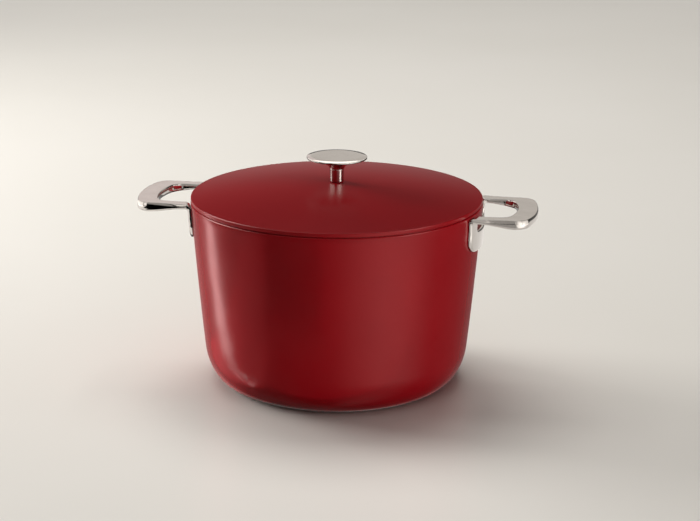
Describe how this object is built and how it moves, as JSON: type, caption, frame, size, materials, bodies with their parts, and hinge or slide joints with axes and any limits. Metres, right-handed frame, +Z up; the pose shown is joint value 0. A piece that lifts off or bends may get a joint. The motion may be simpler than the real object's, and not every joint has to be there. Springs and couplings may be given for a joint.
{
  "type": "stock pot",
  "caption": "Round two-handled stock pot with a red coated body, a bonded steel base disc, polished loop handles and a lift-off domed lid with a mushroom knob.",
  "frame": {"origin": "centre of the flat underside that the pot stands on", "axes": "+X runs from the left handle to the right handle, +Y is level and across the handles, +Z is up along the pot's axis"},
  "size_m": [0.368, 0.266, 0.2094],
  "materials": {
    "red_coating": "satin",
    "lid_coating": "satin",
    "polished_steel": "polished",
    "base_steel": "satin",
    "rivet_steel": "satin",
    "fastener_steel": "satin",
    "rubber": "matte"
  },
  "bodies": {
    "pot": {"pot_body": "red_coating", "base_plate": "base_steel", "handle_right": "polished_steel", "handle_left": "polished_steel", "rivet_right_1": "rivet_steel", "rivet_right_2": "rivet_steel", "rivet_left_1": "rivet_steel", "rivet_left_2": "rivet_steel"},
    "lid": {"lid_shell": "lid_coating", "knob_gasket": "rubber", "knob_stem": "polished_steel", "knob_head": "polished_steel", "knob_screw": "fastener_steel", "flat_washer": "fastener_steel", "lock_washer": "fastener_steel"}
  },
  "joints": [
    {"name": "lid_lift", "type": "slide", "parent": "pot", "child": "lid", "axis": [0, 0, 1], "range_m": [0, 0.18]}
  ]
}
